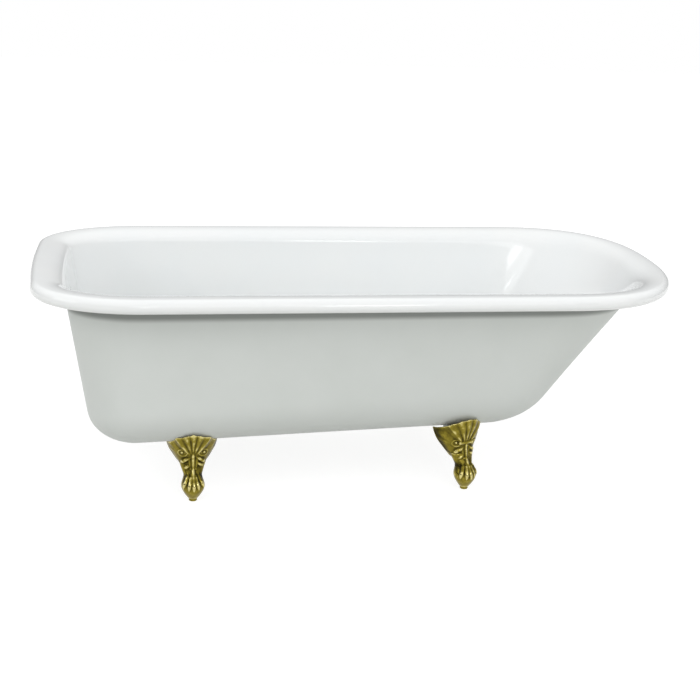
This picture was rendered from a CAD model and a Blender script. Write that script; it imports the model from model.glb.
import math

import bmesh
import bpy
import numpy as np
from mathutils import Matrix, Vector
from mathutils.bvhtree import BVHTree


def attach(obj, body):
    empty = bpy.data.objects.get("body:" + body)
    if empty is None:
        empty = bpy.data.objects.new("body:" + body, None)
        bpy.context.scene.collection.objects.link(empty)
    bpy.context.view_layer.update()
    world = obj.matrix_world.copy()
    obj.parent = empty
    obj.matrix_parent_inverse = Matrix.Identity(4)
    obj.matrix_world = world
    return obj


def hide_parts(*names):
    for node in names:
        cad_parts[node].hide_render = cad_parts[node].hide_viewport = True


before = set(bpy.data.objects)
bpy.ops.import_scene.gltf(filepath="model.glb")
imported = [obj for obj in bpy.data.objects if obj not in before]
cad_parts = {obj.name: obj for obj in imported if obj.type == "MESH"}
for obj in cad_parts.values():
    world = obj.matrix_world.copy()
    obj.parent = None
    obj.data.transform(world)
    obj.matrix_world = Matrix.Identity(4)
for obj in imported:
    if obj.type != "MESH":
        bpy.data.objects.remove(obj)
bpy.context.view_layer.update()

mm = 0.001
print("frame loaded")


# helpers shared by every piece

def linear(hexColour):  # sRGB hex to linear RGBA
    channels = [int(hexColour[i:i + 2], 16) / 255 for i in (1, 3, 5)]
    return [c / 12.92 if c <= 0.04045 else ((c + 0.055) / 1.055) ** 2.4 for c in channels] + [1.0]


def addNode(tree, kind, settings=None, inputs=None):
    node = tree.nodes.new(kind)
    for key, value in (settings or {}).items():
        setattr(node, key, value)
    for key, value in (inputs or {}).items():
        if isinstance(value, bpy.types.NodeSocket):
            tree.links.new(value, node.inputs[key])
        else:
            node.inputs[key].default_value = value
    return node


def startMaterial(name):
    material = bpy.data.materials.new(name)
    material.use_nodes = True
    tree = material.node_tree
    tree.nodes.clear()
    output = addNode(tree, "ShaderNodeOutputMaterial")
    place = addNode(tree, "ShaderNodeTexCoord").outputs["Object"]
    return material, tree, output, place


def wrapRows(rows, ring=False):  # closed loops in a row, with lids or joined into a ring
    count = len(rows[0])
    faces = []
    for i in range(len(rows) if ring else len(rows) - 1):
        for j in range(count):
            k = (j + 1) % count
            under, over = i * count, (i + 1) % len(rows) * count
            faces.append((under + j, under + k, over + k, over + j))
    if not ring:
        last = (len(rows) - 1) * count
        faces.append(list(range(count))[::-1])
        faces.append([last + j for j in range(count)])
    return np.concatenate(rows), faces


def makeObject(name, parts, materials, smoothUpTo=40):  # parts in mm, each a closed form
    vertices = []
    faces = []
    start = 0
    for points, polygons in parts:
        vertices.append(points)
        faces.extend([[corner + start for corner in polygon] for polygon in polygons])
        start += len(points)
    mesh = bpy.data.meshes.new(name)
    mesh.from_pydata((np.concatenate(vertices) * mm).tolist(), [], faces)
    outwardFaces(mesh)
    for material in materials:
        mesh.materials.append(material)
    finishShading(mesh, smoothUpTo)
    item = bpy.data.objects.new(name, mesh)
    bpy.context.scene.collection.objects.link(item)
    return item


def outwardFaces(mesh):
    work = bmesh.new()
    work.from_mesh(mesh)
    bmesh.ops.recalc_face_normals(work, faces=work.faces)
    work.to_mesh(mesh)
    work.free()


def finishShading(mesh, smoothUpTo):
    mesh.shade_smooth()
    mesh.set_sharp_from_angle(angle=math.radians(smoothUpTo))


def bakeModifiers(item):
    graph = bpy.context.evaluated_depsgraph_get()
    result = bpy.data.meshes.new_from_object(item.evaluated_get(graph))
    old = item.data
    item.modifiers.clear()
    item.data = result
    bpy.data.meshes.remove(old)


def carve(item, tool, operation="DIFFERENCE", keepTool=False):
    modifier = item.modifiers.new("carve", "BOOLEAN")
    modifier.operation = operation
    modifier.solver = "EXACT"
    modifier.material_mode = "TRANSFER"
    modifier.object = tool
    bpy.context.view_layer.update()
    bakeModifiers(item)
    if not keepTool:
        bpy.data.objects.remove(tool)


def fullTurn(sides):
    return np.arange(sides) * 2 * math.pi / sides


def circle(radius, sides=48):
    around = fullTurn(sides)
    return np.stack([radius * np.cos(around), radius * np.sin(around)], -1)


def levelRing(radius, level, centre=(0, 0), sides=48):
    flat = circle(radius, sides) + centre
    return np.column_stack([flat, np.full(sides, float(level))])


# finishes: the sizes of patterns are the width of one blotch, and heights are of bumps, in mm

enamelFinish = {
    "wave": 95, "waveHeight": 1.3, "peel": 9, "peelHeight": 0.07, "cloud": 160,
    "colours": ("#F3F6F7", "#F8F9F8"), "roughness": 0.09, "ior": 1.52,
}


def vitreousEnamel():
    # glass fused to iron: hard white gloss that lies a little wavy
    material, tree, output, place = startMaterial("vitreousEnamel")
    wave = addNode(tree, "ShaderNodeTexNoise", None, {
        "Vector": place, "Scale": 1 / (enamelFinish["wave"] * mm), "Detail": 1.0, "Roughness": 0.4})
    peel = addNode(tree, "ShaderNodeTexNoise", None, {
        "Vector": place, "Scale": 1 / (enamelFinish["peel"] * mm), "Detail": 2.0, "Roughness": 0.5})
    cloud = addNode(tree, "ShaderNodeTexNoise", None, {
        "Vector": place, "Scale": 1 / (enamelFinish["cloud"] * mm), "Detail": 2.0, "Roughness": 0.55})
    swell = addNode(tree, "ShaderNodeBump", None, {
        "Strength": 0.35, "Distance": enamelFinish["waveHeight"] * mm, "Height": wave.outputs["Fac"]})
    skin = addNode(tree, "ShaderNodeBump", None, {
        "Strength": 0.3, "Distance": enamelFinish["peelHeight"] * mm, "Height": peel.outputs["Fac"],
        "Normal": swell.outputs["Normal"]})
    cold, warm = enamelFinish["colours"]
    tint = addNode(tree, "ShaderNodeMix", {"data_type": "RGBA"}, {
        "Factor": cloud.outputs["Fac"], "A": linear(cold), "B": linear(warm)})
    shader = addNode(tree, "ShaderNodeBsdfPrincipled", None, {
        "Base Color": tint.outputs["Result"], "Roughness": enamelFinish["roughness"],
        "IOR": enamelFinish["ior"], "Normal": skin.outputs["Normal"]})
    tree.links.new(shader.outputs[0], output.inputs["Surface"])
    return material


paintFinish = {
    "grain": 3.2, "grainHeight": 0.25,  # real sand is finer and wouldn't show, so its grain is coarser
    "lump": 55, "lumpHeight": 0.8, "cloud": 120, "colours": ("#D5DAD6", "#DDE1DE"),
    "dust": {"colour": "#5E625E", "levels": (476, 492), "share": 0.7},
    "roughness": (0.38, 0.52), "ior": 1.48,
}


def paintedCastIron():
    # oil paint over sand-cast iron: soft sheen, faint grain of the sand under it, dust under the roll
    material, tree, output, place = startMaterial("paintedCastIron")
    sand = addNode(tree, "ShaderNodeTexNoise", None, {
        "Vector": place, "Scale": 1 / (paintFinish["grain"] * mm), "Detail": 4.0, "Roughness": 0.6})
    lump = addNode(tree, "ShaderNodeTexNoise", None, {
        "Vector": place, "Scale": 1 / (paintFinish["lump"] * mm), "Detail": 2.0, "Roughness": 0.5})
    cloud = addNode(tree, "ShaderNodeTexNoise", None, {
        "Vector": place, "Scale": 1 / (paintFinish["cloud"] * mm), "Detail": 3.0, "Roughness": 0.55})
    grain = addNode(tree, "ShaderNodeBump", None, {
        "Strength": 0.3, "Distance": paintFinish["grainHeight"] * mm, "Height": sand.outputs["Fac"]})
    lumps = addNode(tree, "ShaderNodeBump", None, {
        "Strength": 0.25, "Distance": paintFinish["lumpHeight"] * mm, "Height": lump.outputs["Fac"],
        "Normal": grain.outputs["Normal"]})
    dark, light = paintFinish["colours"]
    tone = addNode(tree, "ShaderNodeMix", {"data_type": "RGBA"}, {
        "Factor": cloud.outputs["Fac"], "A": linear(dark), "B": linear(light)})
    dust = paintFinish["dust"]
    height = addNode(tree, "ShaderNodeSeparateXYZ", None, {0: place})
    gather = addNode(tree, "ShaderNodeMapRange", {"interpolation_type": "SMOOTHSTEP"}, {
        "Value": height.outputs["Z"], "From Min": dust["levels"][0] * mm,
        "From Max": dust["levels"][1] * mm, "To Max": dust["share"]})
    dusty = addNode(tree, "ShaderNodeMix", {"data_type": "RGBA"}, {
        "Factor": gather.outputs["Result"], "A": tone.outputs["Result"], "B": linear(dust["colour"])})
    smooth, coarse = paintFinish["roughness"]
    rough = addNode(tree, "ShaderNodeMapRange", None, {
        "Value": sand.outputs["Fac"], "To Min": smooth, "To Max": coarse})
    shader = addNode(tree, "ShaderNodeBsdfPrincipled", None, {
        "Base Color": dusty.outputs["Result"], "Roughness": rough.outputs["Result"],
        "IOR": paintFinish["ior"], "Normal": lumps.outputs["Normal"]})
    tree.links.new(shader.outputs[0], output.inputs["Surface"])
    return material


brassFinish = {
    "blotch": 14, "blotching": 0.62, "pits": 2.2, "pitDepth": 0.25,  # real pits are finer, as above
    "stops": ((0.0, "#D2C684"), (0.17, "#8B7E2F"), (0.4, "#6A5F22"), (0.62, "#463F18"), (0.95, "#1E1A0C")),
    "roughness": (0.2, 0.55), "roughFrom": (0.15, 0.8),
}


def agedBrass():
    # lacquered cast brass gone olive, rubbed bright on the high spots, brown-black in the hollows
    material, tree, output, place = startMaterial("agedBrass")
    depth = addNode(tree, "ShaderNodeAttribute", {"attribute_name": "hollow"})
    blotch = addNode(tree, "ShaderNodeTexNoise", None, {
        "Vector": place, "Scale": 1 / (brassFinish["blotch"] * mm), "Detail": 4.0, "Roughness": 0.6})
    pits = addNode(tree, "ShaderNodeTexNoise", None, {
        "Vector": place, "Scale": 1 / (brassFinish["pits"] * mm), "Detail": 3.0, "Roughness": 0.6})
    swing = brassFinish["blotching"]
    dirt = addNode(tree, "ShaderNodeMath", {"operation": "MULTIPLY_ADD"}, {
        0: blotch.outputs["Fac"], 1: swing, 2: -swing / 2})
    dirty = addNode(tree, "ShaderNodeMath", {"operation": "ADD"}, {
        0: depth.outputs["Fac"], 1: dirt.outputs[0]})
    ramp = addNode(tree, "ShaderNodeValToRGB", None, {"Fac": dirty.outputs[0]})
    stops = brassFinish["stops"]
    elements = ramp.color_ramp.elements
    elements[0].position, elements[1].position = stops[0][0], stops[-1][0]
    for at, _ in stops[1:-1]:
        elements.new(at)
    for element, (_, colour) in zip(elements, stops):
        element.color = linear(colour)
    smooth, coarse = brassFinish["roughness"]
    clean, foul = brassFinish["roughFrom"]
    rough = addNode(tree, "ShaderNodeMapRange", None, {
        "Value": dirty.outputs[0], "From Min": clean, "From Max": foul,
        "To Min": smooth, "To Max": coarse})
    bump = addNode(tree, "ShaderNodeBump", None, {
        "Strength": 0.3, "Distance": brassFinish["pitDepth"] * mm, "Height": pits.outputs["Fac"]})
    shader = addNode(tree, "ShaderNodeBsdfPrincipled", None, {
        "Base Color": ramp.outputs["Color"], "Metallic": 1.0,
        "Roughness": rough.outputs["Result"], "Normal": bump.outputs["Normal"]})
    tree.links.new(shader.outputs[0], output.inputs["Surface"])
    return material


padFinish = {"cloud": 6, "colours": ("#6E6422", "#A3953F"), "roughness": (0.5, 0.36)}


def turnedBrass():
    # a turned brass pad, dull olive, smoother where it is rubbed lighter
    material, tree, output, place = startMaterial("turnedBrass")
    cloud = addNode(tree, "ShaderNodeTexNoise", None, {
        "Vector": place, "Scale": 1 / (padFinish["cloud"] * mm), "Detail": 3.0, "Roughness": 0.55})
    dull, rubbed = padFinish["colours"]
    tone = addNode(tree, "ShaderNodeMix", {"data_type": "RGBA"}, {
        "Factor": cloud.outputs["Fac"], "A": linear(dull), "B": linear(rubbed)})
    coarse, smooth = padFinish["roughness"]
    rough = addNode(tree, "ShaderNodeMapRange", None, {
        "Value": cloud.outputs["Fac"], "To Min": coarse, "To Max": smooth})
    shader = addNode(tree, "ShaderNodeBsdfPrincipled", None, {
        "Base Color": tone.outputs["Result"], "Metallic": 1.0, "Roughness": rough.outputs["Result"]})
    tree.links.new(shader.outputs[0], output.inputs["Surface"])
    return material


zincFinish = {"cloud": 5, "colours": ("#9A9DA0", "#C4C6C7"), "roughness": (0.28, 0.46)}


def zincPlatedSteel():
    # bright zinc over turned steel: cool grey, cloudy sheen
    material, tree, output, place = startMaterial("zincPlatedSteel")
    cloud = addNode(tree, "ShaderNodeTexNoise", None, {
        "Vector": place, "Scale": 1 / (zincFinish["cloud"] * mm), "Detail": 3.0, "Roughness": 0.55})
    dark, light = zincFinish["colours"]
    tone = addNode(tree, "ShaderNodeMix", {"data_type": "RGBA"}, {
        "Factor": cloud.outputs["Fac"], "A": linear(dark), "B": linear(light)})
    smooth, coarse = zincFinish["roughness"]
    rough = addNode(tree, "ShaderNodeMapRange", None, {
        "Value": cloud.outputs["Fac"], "To Min": smooth, "To Max": coarse})
    shader = addNode(tree, "ShaderNodeBsdfPrincipled", None, {
        "Base Color": tone.outputs["Result"], "Metallic": 1.0, "Roughness": rough.outputs["Result"]})
    tree.links.new(shader.outputs[0], output.inputs["Surface"])
    return material


enamel = vitreousEnamel()
paint = paintedCastIron()
brass = agedBrass()
padBrass = turnedBrass()
zinc = zincPlatedSteel()
print("finishes made")


# tub casting: rolled rim, sloping walls, rounded bilge and floor, from the same sizes as the CAD

tub = {
    "length": 1676, "width": 762, "height": 556,
    "corner": (280, 200, 2.1), "bow": 6, "head": (367, 2.54),  # reaches and how square the curve is
    "rimWidth": 88, "rimDrop": 30, "roll": 18, "rollEnd": 170, "crown": (22, 41),
    "iron": 7, "lip": 0.6, "floorEnds": (-630, 423), "floorHalf": 205, "taper": 0.12,
    "floorCorner": (54, 82), "floorHead": 105, "floorLevels": (147.5, 171), "spineInset": 200,
    "bilge": {"drain": 67, "side": 95, "head": 138},
    "waste": {"x": -545, "hole": 26, "seat": 38, "pad": 42, "seatZ": 147, "padZ": 138},
    # the overflow's cutter: how far through the skin, and how much wider it is there
    "overflow": {"z": 450, "hole": 31, "cut": ((-16, 0), (-1.8, 0), (-0.6, 0.5), (0, 1.6), (3, 5))},
    "steps": {"end": 8, "corner": 26, "side": 26, "head": 44},
}
feet = {  # ball centre on the floor and turn toward the head end, in degrees
    "drain_near": (-440, -280, 1), "drain_far": (-440, 280, 179),
    "head_near": (274, -261, 20), "head_far": (274, 261, 160),
}
boss = {
    "z": 132, "radius": 22, "setback": 76, "edge": 1.5,
    "fillet": ((0, -2.5), (1.5, -0.7), (4, 2.3)),  # how much wider, and how far past the iron's skin
    "cap": (0.7, 0.4, 0.1),  # shares of that width, for the rings that close the boss in the iron
    "hole": {"radius": 6.2, "drop": 4, "top": 146},
    "lookFrom": 60,  # a level under the tub, from which its skin is found
}


def signedPower(value, exponent):
    return math.copysign(abs(value) ** exponent, value)


def spread(start, end, steps):
    return [start + (end - start) * i / steps for i in range(steps)]


def loopAround(ends, half, corner, head, cornerPower=2.0, headPower=2.0, bow=0.0, taper=0.0):
    low, high = ends
    points = []
    steps = tub["steps"]
    for t in spread(0, 1, steps["end"]):
        points.append((low + bow * t * t, -(half - corner[1]) * t))
    for a in spread(0, math.pi / 2, steps["corner"]):
        points.append((low + bow + corner[0] * (1 - signedPower(math.cos(a), 2 / cornerPower)),
                       -(half - corner[1]) - corner[1] * signedPower(math.sin(a), 2 / cornerPower)))
    for x in spread(low + bow + corner[0], high - head, steps["side"]):
        points.append((x, -half))
    for a in spread(0, math.pi / 2, steps["head"]) + [math.pi / 2]:
        points.append((high - head + head * signedPower(math.sin(a), 2 / headPower),
                       -half * signedPower(math.cos(a), 2 / headPower)))
    middle = (low + high) / 2
    near = [(x, y * (1 - taper * (x - middle) / (high - low))) for x, y in points]
    return np.array(near + [(x, -y) for x, y in reversed(near[1:-1])])


def inwardOf(loop):
    tangent = np.roll(loop, -1, 0) - np.roll(loop, 1, 0)
    inward = np.stack([-tangent[:, 1], tangent[:, 0]], 1)
    return inward / np.linalg.norm(inward, axis=1)[:, None]


def floorLevel(x):
    low, high = tub["floorEnds"]
    bottom, top = tub["floorLevels"]
    return bottom + (top - bottom) * (x - low) / (high - low)


def enamelRows(bilgeSteps=16, wallSteps=14):  # the bath's skin from its floor's edge to the rim's lip
    halfLength = tub["length"] / 2
    cornerLong, cornerWide, cornerPower = tub["corner"]
    headLong, headPower = tub["head"]
    rim = loopAround((-halfLength, halfLength), tub["width"] / 2, (cornerLong, cornerWide),
                     headLong, cornerPower, headPower, tub["bow"])
    floor = loopAround(tub["floorEnds"], tub["floorHalf"], tub["floorCorner"],
                       tub["floorHead"], taper=tub["taper"])
    inward = inwardOf(rim)
    top = rim + inward * tub["rimWidth"]
    topZ = tub["height"] - tub["rimDrop"]
    run = floor - top
    width = np.linalg.norm(run, axis=1)
    toward = run / width[:, None]
    height = topZ - floorLevel(floor[:, 0])
    drainShare = np.clip(toward[:, 0], 0, 1) ** 2
    headShare = np.clip(-toward[:, 0], 0, 1) ** 2
    radius = (drainShare * tub["bilge"]["drain"] + headShare * tub["bilge"]["head"]
              + (1 - drainShare - headShare) * tub["bilge"]["side"])
    slope = np.arccos(radius / np.hypot(width, height - radius)) - np.arctan2(height - radius, width)
    straight = (height - radius * (1 - np.sin(slope))) / np.cos(slope)
    rows = []
    for share in spread(1, 0, bilgeSteps):
        a = slope + (math.pi / 2 - slope) * share
        across = straight * np.sin(slope) + radius * (np.cos(slope) - np.cos(a))
        down = straight * np.cos(slope) + radius * (np.sin(a) - np.sin(slope))
        rows.append(np.column_stack([top + toward * across[:, None], topZ - down]))
    for share in spread(1, 0, wallSteps):
        across = share * straight * np.sin(slope)
        rows.append(np.column_stack([top + toward * across[:, None],
                                     topZ - share * straight * np.cos(slope)]))
    return np.array(rows + rimRows(rim, inward, slope)), len(rows)


def rimRows(rim, inward, slope, crownSteps=14, rollSteps=26):  # over the rim's crown and down its roll
    rise, reach = tub["crown"]
    insets = (tub["rimWidth"], tub["rimWidth"] - rise * np.sin(slope),
              tub["roll"] + reach, tub["roll"])
    drops = (-tub["rimDrop"], -tub["rimDrop"] + rise * np.cos(slope), 0, 0)
    rows = []
    for t in spread(0, 1, crownSteps):
        weights = ((1 - t) ** 3, 3 * t * (1 - t) ** 2, 3 * t * t * (1 - t), t ** 3)
        inset, drop = (sum(w * v for w, v in zip(weights, values)) + 0 * slope
                       for values in (insets, drops))
        rows.append(np.column_stack([rim + inward * inset[:, None], tub["height"] + drop]))
    end = math.radians(tub["rollEnd"])
    for a in spread(0, end, rollSteps) + [end]:
        inset = tub["roll"] * (1 - math.sin(a))
        level = np.full(len(rim), tub["height"] + tub["roll"] * (math.cos(a) - 1))
        rows.append(np.column_stack([rim + inward * inset, level]))
    return rows


def outwardOf(rows):  # the way out of the bath at each point of its skin
    along = np.roll(rows, -1, 1) - np.roll(rows, 1, 1)
    up = np.empty_like(rows)
    up[1:-1] = rows[2:] - rows[:-2]
    up[0] = rows[1] - rows[0]
    up[-1] = rows[-1] - rows[-2]
    outward = np.cross(along, up)
    outward[0] = (0, 0, -1)
    return outward / np.linalg.norm(outward, axis=2)[..., None]


def floorRows(edge, steps=7, smallest=0.04):  # loops that shrink onto the floor's centre line
    low, high = tub["floorEnds"]
    inset = tub["spineInset"]
    spine = np.column_stack([np.clip(edge[:, 0], low + inset, high - inset), np.zeros(len(edge))])
    rows = []
    for share in spread(1, smallest, steps)[1:] + [smallest]:
        flat = spine + (edge[:, :2] - spine) * share
        drop = edge[:, 2] - floorLevel(edge[:, 0])
        rows.append(np.column_stack([flat, floorLevel(flat[:, 0]) + drop]))
    return rows


def wallSolid(distance, name):  # filled form of the tub below its rim, a distance out from the enamel
    wall = tubRows[:wallTop + 1] + tubAway[:wallTop + 1] * distance
    top = wall[-1].copy()
    top[:, 2] = tub["height"]
    return makeObject(name, [wrapRows(list(wall) + [top])], [])


def makeShell(rows, away):
    iron = rows + away * tub["iron"]
    along = rows[-1] - rows[-2]
    along /= np.linalg.norm(along, axis=1)[:, None]
    half = tub["iron"] / 2
    middle = rows[-1] + away[-1] * half
    lip = []
    for a in spread(0, math.pi, 6)[1:]:  # the lip's edge is round, as it leaves the mould
        lip.append(middle - away[-1] * half * math.cos(a) + along * half * tub["lip"] * math.sin(a))
    inner = floorRows(rows[0])[::-1] + list(rows) + lip
    outer = list(iron[::-1]) + floorRows(iron[0])
    shell = makeObject("bathtubCasting", [wrapRows(inner + outer)], [enamel, paint])
    painted = (len(inner) - 1) * len(rows[0])  # all the faces from here on are painted,
    innerLid = len(shell.data.polygons) - 2  # but for the one that closes the enamelled floor
    for face in shell.data.polygons:
        if face.index >= painted and face.index != innerLid:
            face.material_index = 1
    return shell


def studSpots():  # each foot's stud stands toward the tub from its ball
    spots = []
    for x, y, turn in feet.values():
        a = math.radians(turn)
        spots.append((x - boss["setback"] * math.sin(a), y + boss["setback"] * math.cos(a)))
    return spots


def skinOver(tree, point):  # height of the tub's outside above a point
    start = Vector((point[0], point[1], boss["lookFrom"])) * mm
    return tree.ray_cast(start, Vector((0, 0, 1)))[0].z / mm


def castBosses(outside):
    tree = BVHTree.FromObject(outside, bpy.context.evaluated_depsgraph_get())
    waste = tub["waste"]
    spots = [(spot, boss["radius"], boss["z"]) for spot in studSpots()]
    spots.append(((waste["x"], 0), waste["pad"], waste["padZ"]))
    edge = boss["edge"]
    widest, deepest = boss["fillet"][-1]
    parts = []
    for centre, radius, level in spots:
        rows = [levelRing(radius - edge, level, centre), levelRing(radius, level + edge, centre)]
        rings = [(radius + flare, depth) for flare, depth in boss["fillet"]]
        rings += [((radius + widest) * share, deepest) for share in boss["cap"]]
        for reach, depth in rings:
            ring = levelRing(reach, level, centre)
            for point in ring:
                point[2] = skinOver(tree, point) + depth
            rows.append(ring)
        parts.append(wrapRows(rows))
    return makeObject("bosses", parts, [paint])


def wasteCutter():  # the hole, then the seat for the waste's flange, with rounded edges
    waste = tub["waste"]
    hole, seat, level = waste["hole"], waste["seat"], waste["seatZ"]
    profile = ((hole, waste["padZ"] - 6), (hole, level - 2.5), (hole + 0.7, level - 0.8),
               (hole + 2.5, level), (seat - 1, level), (seat, level + 1), (seat + 0.4, level + 3),
               (seat + 3, level + 9))
    return wrapRows([levelRing(radius, height, (waste["x"], 0), 72) for radius, height in profile])


def overflowCutter(rows, wallTop):  # square to the drain end's wall
    overflow = tub["overflow"]
    lower, upper = rows[wallTop - 1][0], rows[wallTop][0]
    share = (overflow["z"] - lower[2]) / (upper[2] - lower[2])
    middle = Vector(lower + (upper - lower) * share)
    up = Vector(upper - lower).normalized()
    into = Vector((up.z, 0, -up.x))
    rings = []
    for reach, flare in overflow["cut"]:
        flat = circle(overflow["hole"] + flare, 72)
        rings.append(np.array([middle + into * reach + Vector((0, 1, 0)) * a + up * b for a, b in flat]))
    return wrapRows(rings)


def castHoles(rows, wallTop):
    parts = [wasteCutter(), overflowCutter(rows, wallTop)]
    hole = boss["hole"]
    for spot in studSpots():
        parts.append(wrapRows([levelRing(hole["radius"], level, spot, 32)
                               for level in (boss["z"] - hole["drop"], hole["top"])]))
    return makeObject("holes", parts, [enamel])


tubRows, wallTop = enamelRows()
tubAway = outwardOf(tubRows)
casting = makeShell(tubRows, tubAway)
outside = wallSolid(tub["iron"], "outside")
carve(casting, castBosses(outside), "UNION")
carve(casting, castHoles(tubRows, wallTop))
bpy.data.objects.remove(outside)
finishShading(casting.data, 32)
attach(casting, "tub")
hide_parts("tub_casting")
print("tub cast:", len(casting.data.polygons), "faces")


# feet: a hollow acanthus crown under the bilge, a ridged leg, and claws over a ball

clawFoot = {
    # height, how far the centre stands out, half width, half depth
    "leg": ((7, 0, 12, 11.8), (13, 0, 16.5, 16.3), (22, 0, 22.5, 22.2), (30, 0, 26.8, 26.4),
            (42, -1, 30, 29.4), (52, -3, 27.8, 27.4), (60, -6, 24.8, 24.4), (67, -10, 23.4, 23),
            (76, -15, 26.2, 22.5), (86, -20, 30, 21.5), (98, -22, 34, 20.5)),
    # height, how far the front stands out, half width
    "crown": ((84, 1, 28), (98, 1, 37.5), (114, 0, 48.4), (130, 3, 58.3), (145, 8, 63.3),
              (160, 13, 65.8), (178, 17, 68.5), (195, 19, 71)),
    "back": (38, 0.28), "arc": 0.9, "wall": 4.5, "hollow": (113, 215),
    # the crown's peak: height, reach, its fall at fallWidth, how rounded that is, its fall to the back
    "top": {"drain": (187, 18, 20, 1.0, 0.125), "head": (197, 18, 24, 1.8, 0.16)}, "fallWidth": 66,
    "lean": {"drain": 0, "head": 0.14},  # the crown leans back to the tub by this much of its height
    # lobes and edges are in degrees, and a pair is where something begins and where it is full;
    # each border has a height, a place past the fan's edge and a width
    "fan": {"root": 117, "under": 5, "lobe": 17, "edge": 37, "soft": (-2, 3), "depth": 2.6,
            "start": (4, 26), "flare": (1.5, 40, 60), "borders": ((1.4, 0, 5.5), (-0.9, 11, 4.5)),
            "borderStart": (8, 22), "borderFoot": -4, "scallop": 2.6, "notch": 1.0},
    "wing": {"lobe": 19, "depth": 1.0, "inward": 6, "under": 8, "start": (13, 30), "past": (8, 16),
             "levels": (118, 132)},
    "flute": {"drift": 0.16, "beat": 0.7, "groove": 0.05}, "reliefStart": (0, 0.12),
    # lifts: how high a rod's middle lies on the crown, and another height, for the way it faces
    "volute": {"aside": 26, "level": 130, "eye": 3.1, "eyeLift": 0.5, "ring": (7.5, 15), "from": 200,
               "turns": 1.3, "opening": 1.2, "flat": 0.9, "thick": (1.9, 2.6), "lifts": (-1.2, -1.0)},
    "bead": {"levels": (153, 92), "turns": (87, 80), "thick": 2.2, "lifts": (-0.6, -2.0)},
    # place aside, top, foot and thickness of the ridges down the front, and how deep they lie
    "ridges": ((0, 132, 66, 5.6), (11, 120, 84, 3.4), (-11, 120, 84, 3.4)),
    "ridge": {"gather": 0.45, "waist": 0.22, "onCrown": -1.6, "onLeg": -1.2, "legRadius": 24,
              "crownFrom": 110},
    # leaf tips at the waist, for each side: where each starts and ends, its droop and its thickness
    "tips": {1: (((6, 120), (30, 107), 7, 6.0), ((7, 105), (27, 94), 6, 5.8), ((6, 90), (20, 80), 4, 5.4)),
             -1: (((5, 117), (31, 109), 9, 6.2), ((6, 97), (25, 85), 5, 6.4))},
    "tipLift": -1.7, "tipArch": 0.4,
    # angle round the ball at the knuckle and at the nail, and the heights of both
    "claws": ((0, 2, 78, 27), (12, 27, 77, 30), (-12, -24, 77, 28), (32, 62, 77, 31),
              (-32, -58, 77, 29), (180, 180, 76, 33)),
    "claw": {"thick": 6.4, "sunk": 2.0, "knuckle": (0.08, 1.9, 0.3), "arch": 0.8, "dip": 0.6, "sweep": 0.8},
    # share of the thickness at the root, where it is full, the tip's loss and where that starts
    "taper": {"claw": (0.3, 0.3, 0.7, 0.45), "tip": (0.4, 0.5, 0.5, 0.75), "ridge": (0.35, 0.2, 0, 0),
              "volute": (1, 1, 0.7, 0.85), "bead": (1, 1, 0.5, 0.8)},
    "tongue": {"z": 125, "thick": 7, "half": 22, "reach": 76, "root": 2.0, "hole": 7.2,
               "edge": ((0.3, 1.0), (1.3, 0)), "cut": (-5, 12)},
    "bore": (5.0, 52),
    "voxel": 1.15, "soften": (0.5, 6), "clear": 0.5, "settleFrom": 130, "settleReach": 6,
}
forward = np.array([0.0, -1.0, 0.0])


def between(sections, level):  # a smooth run through the sections' sizes
    table = np.array(sections, float)
    heights, values = table[:, 0], table[:, 1:]
    slopes = np.gradient(values, heights, axis=0)
    level = np.clip(level, heights[0], heights[-1])
    i = np.clip(np.searchsorted(heights, level) - 1, 0, len(heights) - 2)
    step = (heights[i + 1] - heights[i])[..., None]
    t = (level - heights[i])[..., None] / step
    return ((1 + 2 * t) * (1 - t) ** 2 * values[i] + t * (1 - t) ** 2 * step * slopes[i]
            + t * t * (3 - 2 * t) * values[i + 1] + t * t * (t - 1) * step * slopes[i + 1])


def ease(low, high, value):
    t = np.clip((value - low) / (high - low), 0, 1)
    return t * t * (3 - 2 * t)


def hump(value, middle, width):
    return np.exp(-((value - middle) / width) ** 2)


def rodShape(kind, t):  # share of the thickness along a rod: it swells from its root and thins to its tip
    root, full, loss, thins = clawFoot["taper"][kind]
    return (root + (1 - root) * ease(0, full, t)) * (1 - loss * ease(thins, 1, t))


def legPoint(around, level, lift=0.0):
    centre, half, deep = np.moveaxis(between(clawFoot["leg"], level), -1, 0)
    return np.stack([(half + lift) * np.sin(around),
                     -(centre + (deep + lift) * np.cos(around)), level + 0 * around], -1)


def crownPoint(turn, level, lift=0.0):
    face, half = np.moveaxis(between(clawFoot["crown"], level), -1, 0)
    low, slant = clawFoot["back"]
    back = -(low + slant * (level - clawFoot["crown"][0][0]))
    deep = face - back
    normal = np.stack([np.sin(turn) / half, -np.cos(turn) / deep], -1)
    normal /= np.linalg.norm(normal, axis=-1)[..., None]
    place = np.stack([half * np.sin(turn), -(back + deep * np.cos(turn))], -1)
    place = place + normal * np.asarray(lift)[..., None]
    return np.concatenate([place, (level + 0 * turn)[..., None]], -1)


def crownAside(turn, level):  # distance round the crown from its front
    return clawFoot["arc"] * between(clawFoot["crown"], level)[..., 1] * turn


def crownTurn(aside, level):  # turn round the crown at such a distance
    return aside / (clawFoot["arc"] * between(clawFoot["crown"], level)[..., 1])


def flute(angle, pitch):  # plump lobes with open grooves between them, none quite like the next
    shape = clawFoot["flute"]
    angle = angle + shape["drift"] * pitch * np.sin(angle / (shape["beat"] * pitch))
    return np.sqrt(np.cos(np.pi * angle / pitch) ** 2 + shape["groove"]) - 0.5


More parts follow.
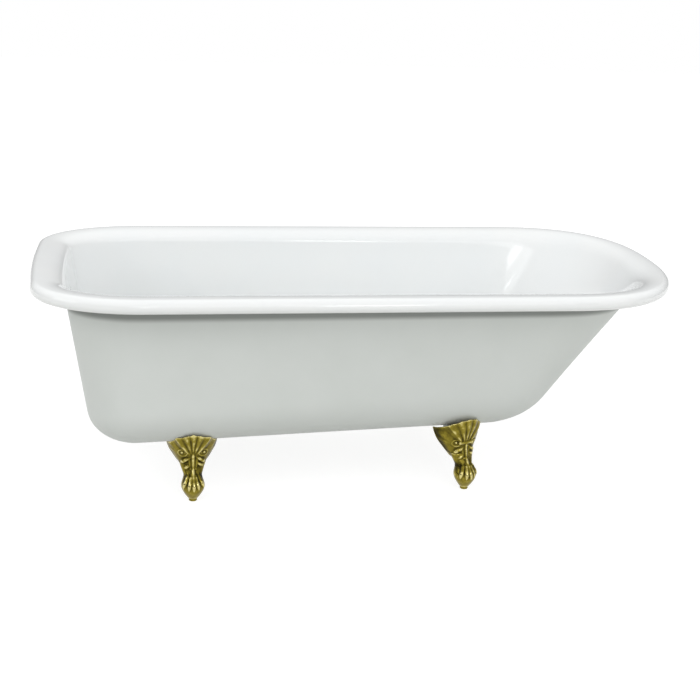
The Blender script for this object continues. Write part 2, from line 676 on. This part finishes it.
def leafRelief(turn, level):
    fan, wing, volute = clawFoot["fan"], clawFoot["wing"], clawFoot["volute"]
    aside = crownAside(turn, level)
    rise = level - fan["root"]
    angle = np.degrees(np.arctan2(aside, rise + fan["under"]))
    reach = np.hypot(aside, rise)
    past = np.abs(angle) - fan["edge"]
    flare, flareFrom, flareTo = fan["flare"]
    lobes = fan["depth"] * flute(angle, fan["lobe"]) * ease(*fan["start"], reach)
    lobes = (lobes + flare * ease(flareFrom, flareTo, reach)) * (1 - ease(*fan["soft"], past))
    border = sum(tall * hump(past, place, width) for tall, place, width in fan["borders"])
    border = border * ease(*fan["borderStart"], reach) * (rise > fan["borderFoot"])
    outOf = np.abs(aside) - volute["aside"]
    over = level - volute["level"]
    wingAngle = np.degrees(np.arctan2(outOf + wing["inward"], over + wing["under"]))
    wings = wing["depth"] * flute(wingAngle, wing["lobe"]) * ease(*wing["start"], np.hypot(outOf, over))
    wings = wings * ease(*wing["past"], past) * ease(*wing["levels"], level)
    return lobes + border + wings


def tubeAlong(path, radii, outward, sides=14):  # a round rod along a path on a face that looks outward
    path = np.asarray(path, float)
    tangent = np.gradient(path, axis=0)
    tangent /= np.linalg.norm(tangent, axis=1)[:, None]
    side = np.cross(tangent, outward)
    side /= np.linalg.norm(side, axis=1)[:, None]
    top = np.cross(side, tangent)
    around = fullTurn(sides)
    rows = [p + r * (np.outer(np.cos(around), s) + np.outer(np.sin(around), u))
            for p, r, s, u in zip(path, radii, side, top)]
    return wrapRows(rows)


def rodOnCrown(turn, level, lifts, radii):  # such a rod, on the crown's face
    path = crownPoint(turn, level, lifts[0])
    return tubeAlong(path, radii, path - crownPoint(turn, level, lifts[1]))


def crownForms(end, columns=150, steps=84, backSteps=14, hollowSteps=40, hollowSides=72):
    turns = np.linspace(-math.pi / 2, math.pi / 2, columns)
    topLevel, topOut, sideFall, bow, backFall = clawFoot["top"][end]
    level = np.full(columns, float(topLevel))
    for _ in range(8):  # the height where each column meets the ridged top
        place = crownPoint(turns, level)
        fall = sideFall * np.abs(place[:, 0] / clawFoot["fallWidth"]) ** bow
        level = topLevel - fall - backFall * (topOut + place[:, 1])
    fan = clawFoot["fan"]
    angle = np.degrees(np.arctan2(crownAside(turns, level), level - fan["root"]))
    scallop = fan["scallop"] * (flute(angle, fan["lobe"]) - 0.5)
    level = level + np.where(np.abs(angle) < fan["edge"], scallop, -fan["notch"])
    bottom = clawFoot["crown"][0][0]
    rows = []
    for share in np.linspace(0, 1, steps):
        height = bottom + (level - bottom) * share
        lift = leafRelief(turns, height) * ease(*clawFoot["reliefStart"], share)
        arc = crownPoint(turns, height, lift)
        back = [arc[-1] + (arc[0] - arc[-1]) * t for t in np.linspace(0, 1, backSteps)[1:-1]]
        rows.append(np.concatenate([arc, back]))
    hollowRows = [crownPoint(fullTurn(hollowSides), np.full(hollowSides, height), -clawFoot["wall"])
                  for height in np.linspace(*clawFoot["hollow"], hollowSteps)]
    return wrapRows(rows), wrapRows(hollowRows)


def clawPieces(steps=34):
    claw = clawFoot["claw"]
    swelling, beats, shift = claw["knuckle"]
    t = np.linspace(0, 1, steps)
    knuckles = 1 + swelling * np.cos(2 * math.pi * (t * beats - shift))
    radii = claw["thick"] * knuckles * rodShape("claw", t)
    lift = claw["arch"] * np.sin(math.pi * t) - claw["dip"] * t - claw["sunk"]
    pieces = []
    for rootTurn, nailTurn, rootLevel, nailLevel in clawFoot["claws"]:
        turn = np.radians(rootTurn + (nailTurn - rootTurn) * ease(0, 1, t) ** claw["sweep"])
        level = rootLevel + (nailLevel - rootLevel) * t
        outward = np.stack([np.sin(turn), -np.cos(turn), 0 * turn], -1)
        pieces.append(tubeAlong(legPoint(turn, level, lift), radii, outward))
    return pieces


def ridgePieces(steps=40):
    ridge = clawFoot["ridge"]
    t = np.linspace(0, 1, steps)
    shape = rodShape("ridge", t) * (1 - ridge["waist"] * np.sin(math.pi * t))
    pieces = []
    for aside, top, foot, thick in clawFoot["ridges"]:
        level = top + (foot - top) * t
        drift = aside * (1 - ridge["gather"] * t)
        onCrown = crownPoint(crownTurn(drift, level), level, ridge["onCrown"])[:, 1]
        onLeg = legPoint(drift / ridge["legRadius"], level, ridge["onLeg"])[:, 1]
        front = np.where(level > ridge["crownFrom"], onCrown, np.minimum(onCrown, onLeg))
        path = np.stack([drift, front, level], -1)
        path[1:-1] = (path[:-2] + path[1:-1] * 2 + path[2:]) / 4
        pieces.append(tubeAlong(path, thick * shape, forward))
    return pieces


def tipPieces(side, steps=26):  # leaf tips that turn over at the waist, from the upper one down
    t = np.linspace(0, 1, steps)
    pieces = []
    for start, end, hang, thick in clawFoot["tips"][side]:
        aside = start[0] + (end[0] - start[0]) * t
        droop = hang * (clawFoot["tipArch"] * np.sin(math.pi * t) + t ** 3)
        level = start[1] + (end[1] - start[1]) * t - droop
        path = crownPoint(side * crownTurn(aside, level), level, clawFoot["tipLift"])
        pieces.append(tubeAlong(path, thick * rodShape("tip", t), forward))
    return pieces


def volutePieces(side, steps=60):  # a scroll with a round eye
    volute = clawFoot["volute"]
    t = np.linspace(0, 1, steps)
    swirl = math.radians(volute["from"]) - t * volute["turns"] * 2 * math.pi
    inner, outer = volute["ring"]
    reach = inner + (outer - inner) * t ** volute["opening"]
    aside = volute["aside"] + reach * np.cos(swirl)
    level = volute["level"] + reach * np.sin(swirl) * volute["flat"]
    thin, thick = volute["thick"]
    radii = (thin + (thick - thin) * t) * rodShape("volute", t)
    scroll = rodOnCrown(side * crownTurn(aside, level), level, volute["lifts"], radii)
    eyeLevel = np.array([float(volute["level"])])
    eyeTurn = side * crownTurn(volute["aside"], eyeLevel)
    middle = crownPoint(eyeTurn, eyeLevel, volute["eyeLift"])[0]
    eye = [middle + levelRing(volute["eye"] * math.sin(a), -volute["eye"] * math.cos(a), sides=16)
           for a in np.linspace(0.05, math.pi - 0.05, 12)]
    return [scroll, wrapRows(eye)]


def beadPiece(side, steps=60):  # down the wing's edge to the waist
    bead = clawFoot["bead"]
    turn = side * np.radians(np.linspace(*bead["turns"], steps))
    radii = bead["thick"] * rodShape("bead", np.linspace(0, 1, steps))
    return rodOnCrown(turn, np.linspace(*bead["levels"], steps), bead["lifts"], radii)


def curlPieces():
    pieces = []
    for side in (1, -1):
        pieces += tipPieces(side) + volutePieces(side) + [beadPiece(side)]
    return pieces


def tonguePiece():  # the flat lug that the stud, washer and nut hold
    tongue = clawFoot["tongue"]
    half, reach, thick, root = (tongue[key] for key in ("half", "reach", "thick", "root"))
    outline = [(half * math.cos(a), reach + half * math.sin(a)) for a in np.linspace(0, math.pi, 20)]
    outline = [(half, root)] + outline + [(-half, root)]
    rows = []
    for level, inset in tongue["edge"] + tuple((thick - z, inset) for z, inset in tongue["edge"][::-1]):
        shrink = (half - inset) / half
        rows.append(np.array([(x * shrink, reach + (y - reach) * shrink if y > reach else y,
                               tongue["z"] + level) for x, y in outline]))
    blank = makeObject("tongue", [wrapRows(rows)], [])
    eye = [levelRing(tongue["hole"], tongue["z"] + level, (0, reach), 32) for level in tongue["cut"]]
    carve(blank, makeObject("eye", [wrapRows(eye)], []))
    return blank


def meshArrays(item):
    points = np.array([v.co for v in item.data.vertices]) / mm
    return points, [list(face.vertices) for face in item.data.polygons]


# tarnish gathers in the hollows, under the shoulders of the ball, at the waist and on the crown's edges
patina = {
    "plain": 0.36, "hollows": 0.3, "fine": (5, 1.6), "broad": (30, 0.75),  # rounds of smoothing, weight
    "shoulder": {"share": 0.34, "level": 68, "spread": 9, "aside": (9, 20), "bright": 0.25},
    "waist": {"share": 0.2, "level": 100, "slant": 0.3, "spread": 5, "aside": (9, 16), "front": 6},
    "top": {"share": 0.12, "levels": (150, 184), "aside": (28, 50)},
    "edge": {"share": 0.3, "reach": (0.84, 1.0), "from": 96, "bright": 0.3},
    "darkSide": {"drain": 1, "head": -1}, "darkWidth": 9,  # the side where the ball and wing stay darkest
}


def relax(values, edges, rounds):  # each point goes to the mean of its neighbours
    count = len(values)
    degree = np.bincount(edges.ravel(), minlength=count)[:, None]
    for _ in range(rounds):
        near = [np.bincount(edges[:, 0], values[edges[:, 1], axis], count)
                + np.bincount(edges[:, 1], values[edges[:, 0], axis], count) for axis in range(3)]
        values = np.stack(near, -1) / degree
    return values


def readMesh(items, key, width, kind=float):
    values = np.empty(len(items) * width, kind)
    items.foreach_get(key, values)
    return values.reshape(-1, width)


def markHollows(mesh, darkSide):  # how deep each point lies among its neighbours, with its tarnish
    points = readMesh(mesh.vertices, "co", 3) / mm
    normals = readMesh(mesh.vertex_normals, "vector", 3)
    edges = readMesh(mesh.edges, "vertices", 2, int)
    fineRounds, fineWeight = patina["fine"]
    broadRounds, broadWeight = patina["broad"]
    fine = relax(points, edges, fineRounds)
    broad = relax(fine, edges, broadRounds)
    depth = (((fine - points) * normals).sum(1) * fineWeight
             + ((broad - points) * normals).sum(1) * broadWeight)
    aside, level = np.abs(points[:, 0]), points[:, 2]
    dark = ease(-1, 1, darkSide * points[:, 0] / patina["darkWidth"])
    shoulder, waist, top, edge = (patina[key] for key in ("shoulder", "waist", "top", "edge"))
    onShoulder = hump(level, shoulder["level"], shoulder["spread"]) * ease(*shoulder["aside"], aside)
    onWaist = hump(level - waist["slant"] * aside, waist["level"], waist["spread"])
    onWaist = onWaist * ease(*waist["aside"], aside) * (points[:, 1] < waist["front"])
    onTop = ease(*top["levels"], level) * ease(*top["aside"], aside)
    onEdge = ease(*edge["reach"], aside / between(clawFoot["crown"], level)[:, 1]) * (level > edge["from"])
    tarnish = (shoulder["share"] * onShoulder * (shoulder["bright"] + dark) + waist["share"] * onWaist
               + top["share"] * onTop + edge["share"] * onEdge * (edge["bright"] + dark))
    hollow = mesh.attributes.new("hollow", "FLOAT", "POINT")
    hollow.data.foreach_set("value", np.clip(patina["plain"] + patina["hollows"] * depth + tarnish, 0, 1))


def leaned(form, lean):  # a form of the crown, tipped back from the crown's foot up
    points, faces = form
    points = points.copy()
    points[:, 1] += lean * np.clip(points[:, 2] - clawFoot["crown"][0][0], 0, None)
    return points, faces


def crownPiece(end, swing, wall):  # the hollow crown, cut to the tub's skin
    lean = clawFoot["lean"][end]
    shellForm, hollowForm = crownForms(end)
    crown = makeObject("crown", [leaned(shellForm, lean)], [])
    carve(crown, makeObject("hollow", [leaned(hollowForm, lean)], []))
    crown.data.transform(swing)
    carve(crown, wall, keepTool=True)
    crown.data.transform(swing.inverted())
    return crown


def legPiece(sides=72, steps=64):  # the solid leg and ball, with the levelling screw's bore
    sections = clawFoot["leg"]
    around = fullTurn(sides)
    rows = [legPoint(around, level + 0 * around)
            for level in np.linspace(sections[0][0], sections[-1][0], steps)]
    leg = makeObject("leg", [wrapRows(rows)], [])
    radius, top = clawFoot["bore"]
    bore = [levelRing(radius, level, sides=32) for level in (0, top)]
    carve(leg, makeObject("bore", [wrapRows(bore)], []))
    return leg


def castFoot(name, end, spot, wall):
    x, y, turn = spot
    lean = clawFoot["lean"][end]
    swing = Matrix.Translation((x * mm, y * mm, 0)) @ Matrix.Rotation(math.radians(turn), 4, "Z")
    solids = [crownPiece(end, swing, wall), legPiece(), tonguePiece()]
    parts = [meshArrays(item) for item in solids] + clawPieces()
    parts += [leaned(form, lean) for form in ridgePieces() + curlPieces()]
    for item in solids:
        bpy.data.objects.remove(item)
    foot = makeObject(name, parts, [brass])
    foot.data.transform(swing)
    remesh = foot.modifiers.new("remesh", "REMESH")
    remesh.mode = "VOXEL"
    remesh.voxel_size = clawFoot["voxel"] * mm
    soften = foot.modifiers.new("soften", "SMOOTH")
    soften.factor, soften.iterations = clawFoot["soften"]
    bpy.context.view_layer.update()
    bakeModifiers(foot)
    settle(foot, wall)
    foot.data.shade_smooth()
    foot.data.transform(swing.inverted())
    markHollows(foot.data, patina["darkSide"][end])
    foot.data.transform(swing)
    foot.data.materials.clear()
    foot.data.materials.append(brass)
    return foot


def settle(item, wall):  # points that smoothing drew into the tub come back out to its skin
    tree = BVHTree.FromObject(wall, bpy.context.evaluated_depsgraph_get())
    for vertex in item.data.vertices:
        if vertex.co.z < clawFoot["settleFrom"] * mm:
            continue
        place, normal, _, _ = tree.find_nearest(vertex.co, clawFoot["settleReach"] * mm)
        if place is not None and (vertex.co - place).dot(normal) < 0:
            vertex.co = place


def mirrored(item, name):
    twin = item.copy()
    twin.data = item.data.copy()
    twin.name = name
    bpy.context.scene.collection.objects.link(twin)
    twin.data.transform(Matrix.Scale(-1, 4, (0, 1, 0)))
    twin.data.flip_normals()
    return twin


skinOfTub = wallSolid(tub["iron"] + clawFoot["clear"], "skinOfTub")
for end in ("drain", "head"):
    near = castFoot(f"clawFoot_{end}_near", end, feet[f"{end}_near"], skinOfTub)
    far = mirrored(near, f"clawFoot_{end}_far")
    for foot, node in ((near, f"foot_{end}_near"), (far, f"foot_{end}_far")):
        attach(foot, "tub")
        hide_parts(node)
    print(end, "feet cast:", len(near.data.polygons), "faces each")
bpy.data.objects.remove(skinOfTub)


# fixings: studs, washers and nuts hold the feet; glides on screws level the tub

fixings = {
    "stud": (6, 104, 146, 1.75), "screw": (4, 2.5, 48, 1.25),  # radius, bottom, top and pitch
    "washer": (6.3, 14, 122.5, 2.5), "nut": (6.1, 19, 112.5, 10),  # bore, width, level and thickness
    "glide": {"radius": 10.5, "height": 7, "seat": 4.05, "floor": 2.5},
    # the thread: its depth for its pitch, how steep its flanks and how flat its crests are
    "thread": {"depth": 0.6, "flank": 1.3, "crest": 0.1, "chamfer": 1.2, "sides": 28, "rowsPerTurn": 7},
}


def threadedRod(radius, bottom, top, pitch, centre):
    thread = fixings["thread"]
    around = fullTurn(thread["sides"])
    rows = []
    for level in np.arange(bottom, top + 0.001, pitch / thread["rowsPerTurn"]):
        wave = (level / pitch - around / (2 * math.pi)) % 1
        groove = np.clip(np.abs(2 * wave - 1) * thread["flank"] - thread["crest"], 0, 1)
        chamfer = max(0, thread["chamfer"] - min(level - bottom, top - level))
        flat = np.minimum(radius - thread["depth"] * pitch * groove, radius - chamfer)
        rows.append(levelRing(flat, level, centre, thread["sides"]))
    return wrapRows(rows)


def turnedRing(section, centre, flats=None, sides=72):  # turned from its section, or a hexagon if flats
    corner = (fullTurn(sides) + math.pi / 6) % (math.pi / 3) - math.pi / 6
    rows = []
    for radius, level in section:
        if flats and radius > flats * 0.45:  # the bore stays round
            radius = np.minimum(flats / 2 / np.cos(corner), radius)
        rows.append(levelRing(radius, level, centre, sides))
    return wrapRows(rows, ring=True)


def makeFixings():  # the small offsets are chamfers and broken edges
    studs = [threadedRod(*fixings["stud"], spot) for spot in studSpots()]
    bore, rim, level, thick = fixings["washer"]
    section = ((bore, level + 0.3), (bore + 0.4, level), (rim - 0.7, level), (rim, level + 0.8),
               (rim, level + thick - 0.5), (rim - 0.6, level + thick), (bore, level + thick))
    washers = [turnedRing(section, spot) for spot in studSpots()]
    bore, flats, level, tall = fixings["nut"]
    half = flats / 2
    corner = half / math.cos(math.pi / 6) + 0.1
    section = ((bore, level + 0.8), (bore + 0.9, level), (half - 0.3, level), (corner, level + 1.5),
               (corner, level + tall - 0.6), (half + 0.6, level + tall), (bore, level + tall))
    nuts = [turnedRing(section, spot, flats) for spot in studSpots()]
    for name, parts, node in (("footStuds", studs, "mounting_studs"),
                              ("footWashers", washers, "stud_washers"),
                              ("footNuts", nuts, "stud_nuts")):
        item = makeObject(name, parts, [zinc], 30)
        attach(item, "tub")
        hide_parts(node)


def makeGlides():  # a pad with a turned groove round it and a seat for the screw's end
    glide = fixings["glide"]
    outer, tall, seat = glide["radius"], glide["height"], glide["seat"]
    profile = ((outer - 1.6, 0), (outer - 0.5, 0.35), (outer, 1.4), (outer, 3.4), (outer - 0.5, 3.8),
               (outer - 0.5, 4.4), (outer, 4.8), (outer, 6.2), (outer - 0.7, tall), (seat + 0.6, tall),
               (seat, tall - 0.6), (seat, glide["floor"]))
    for name, (x, y, _) in feet.items():
        rod = threadedRod(*fixings["screw"], (x, y))
        screw = makeObject(f"levellingScrew_{name}", [rod], [zinc], 30)
        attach(screw, f"screw_{name}")
        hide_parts(f"levelling_screw_{name}")
        rows = [levelRing(reach, level, (x, y), 64) for reach, level in profile]
        pad = makeObject(f"glide_{name}", [wrapRows(rows)], [padBrass], 30)
        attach(pad, f"glide_{name}")
        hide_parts(f"glide_{name}")


makeFixings()
makeGlides()
print("fixings and glides made")


# studio: pale floor, soft light, camera at the photograph's angle

studio = {
    # the camera in degrees and metres, its focal length in pixels of a frame of 700
    "yaw": -10.63, "pitch": 18.75, "roll": 2.68, "distance": 3.590, "target": (0, 0, 0.3),
    "focal": 1319.0, "frame": 700, "sensor": 36.0,
    "sky": (0.12, 1.05), "skyFrom": (0.05, 0.7),  # fill low down and overhead, and where it grows
    "floorHalf": 9, "floorGlow": 0.83,
    # place, aim, size and power of each lamp
    "lamps": {
        "keySoftbox": ((0.3, -3.5, 1.5), (0.1, 0, 0.35), (2.8, 1.1), 17),
        "leftSoftbox": ((-3.4, -1.2, 1.7), (-0.4, 0, 0.35), (1.6, 1.4), 15),
        "windowLeft": ((-0.6, -4.5, 1.25), (0.5, 0.28, 0.45), (0.24, 1.3), 4.5),
        "windowRight": ((0.8, -4.5, 1.3), (0.5, 0.28, 0.45), (0.62, 1.3), 9),
        "rightSoftbox": ((2.9, -2.6, 1.3), (0.6, 0, 0.35), (1.6, 1.2), 7),
    },
}


def makeFloor():
    # matt studio paper: the lens sees it near white, with the tub's faint shadow
    material, tree, output, _ = startMaterial("studioPaper")
    seen = addNode(tree, "ShaderNodeLightPath")
    mirror = addNode(tree, "ShaderNodeMath", {"operation": "MAXIMUM"}, {
        0: seen.outputs["Is Glossy Ray"], 1: seen.outputs["Is Transmission Ray"]})
    direct = addNode(tree, "ShaderNodeMath", {"operation": "MAXIMUM"}, {
        0: seen.outputs["Is Camera Ray"], 1: mirror.outputs[0]})
    plain = addNode(tree, "ShaderNodeBsdfDiffuse", None, {"Color": linear("#CFCFCC")})
    shade = addNode(tree, "ShaderNodeBsdfDiffuse", None, {"Color": linear("#A0A0A0")})
    glow = addNode(tree, "ShaderNodeEmission", None, {
        "Color": linear("#FFFFFF"), "Strength": studio["floorGlow"]})
    bright = addNode(tree, "ShaderNodeAddShader", None, {0: shade.outputs[0], 1: glow.outputs[0]})
    paper = addNode(tree, "ShaderNodeMixShader", None, {
        0: direct.outputs[0], 1: plain.outputs[0], 2: bright.outputs[0]})
    tree.links.new(paper.outputs[0], output.inputs["Surface"])
    half = studio["floorHalf"]
    corners = [(-half, -half, 0), (half, -half, 0), (half, half, 0), (-half, half, 0)]
    mesh = bpy.data.meshes.new("studioFloor")
    mesh.from_pydata(corners, [], [(0, 1, 2, 3)])
    mesh.materials.append(material)
    floor = bpy.data.objects.new("studioFloor", mesh)
    bpy.context.scene.collection.objects.link(floor)


def makeWorld():
    world = bpy.data.worlds.new("studioWorld")
    bpy.context.scene.world = world
    world.use_nodes = True
    tree = world.node_tree
    tree.nodes.clear()
    path = addNode(tree, "ShaderNodeLightPath")
    way = addNode(tree, "ShaderNodeSeparateXYZ", None, {
        0: addNode(tree, "ShaderNodeTexCoord").outputs["Generated"]})
    low, high = studio["sky"]
    start, end = studio["skyFrom"]
    sky = addNode(tree, "ShaderNodeMapRange", {"interpolation_type": "SMOOTHSTEP"}, {
        "Value": way.outputs["Z"], "From Min": start, "From Max": end, "To Min": low, "To Max": high})
    fill = addNode(tree, "ShaderNodeBackground", None, {
        "Color": (1, 1, 1, 1), "Strength": sky.outputs["Result"]})
    white = addNode(tree, "ShaderNodeBackground", None, {"Color": (1, 1, 1, 1), "Strength": 1.0})
    mix = addNode(tree, "ShaderNodeMixShader", None, {
        0: path.outputs["Is Camera Ray"], 1: fill.outputs[0], 2: white.outputs[0]})
    addNode(tree, "ShaderNodeOutputWorld", None, {"Surface": mix.outputs[0]})


def areaLamp(name, place, aim, size, power):
    light = bpy.data.lights.new(name, "AREA")
    light.shape = "RECTANGLE"
    light.size, light.size_y = size
    light.energy = power
    lamp = bpy.data.objects.new(name, light)
    bpy.context.scene.collection.objects.link(lamp)
    lamp.location = place
    lamp.rotation_euler = (Vector(aim) - Vector(place)).to_track_quat("-Z", "Y").to_euler()


def makeCamera():
    yaw, pitch, roll = (math.radians(studio[key]) for key in ("yaw", "pitch", "roll"))
    back = Vector((math.sin(yaw) * math.cos(pitch), -math.cos(yaw) * math.cos(pitch), math.sin(pitch)))
    right = (-back).cross(Vector((0, 0, 1))).normalized()
    up = right.cross(-back)
    turned = right * math.cos(roll) + up * math.sin(roll)
    upright = up * math.cos(roll) - right * math.sin(roll)
    data = bpy.data.cameras.new("photoCamera")
    data.sensor_width = studio["sensor"]
    data.lens = studio["focal"] / studio["frame"] * studio["sensor"]
    camera = bpy.data.objects.new("photoCamera", data)
    bpy.context.scene.collection.objects.link(camera)
    matrix = Matrix((turned, upright, back)).transposed().to_4x4()
    matrix.translation = Vector(studio["target"]) + back * studio["distance"]
    camera.matrix_world = matrix
    bpy.context.scene.camera = camera


makeFloor()
makeWorld()
for name, settings in studio["lamps"].items():
    areaLamp(name, *settings)
makeCamera()
bpy.context.scene.view_settings.view_transform = "Standard"
print("studio set")
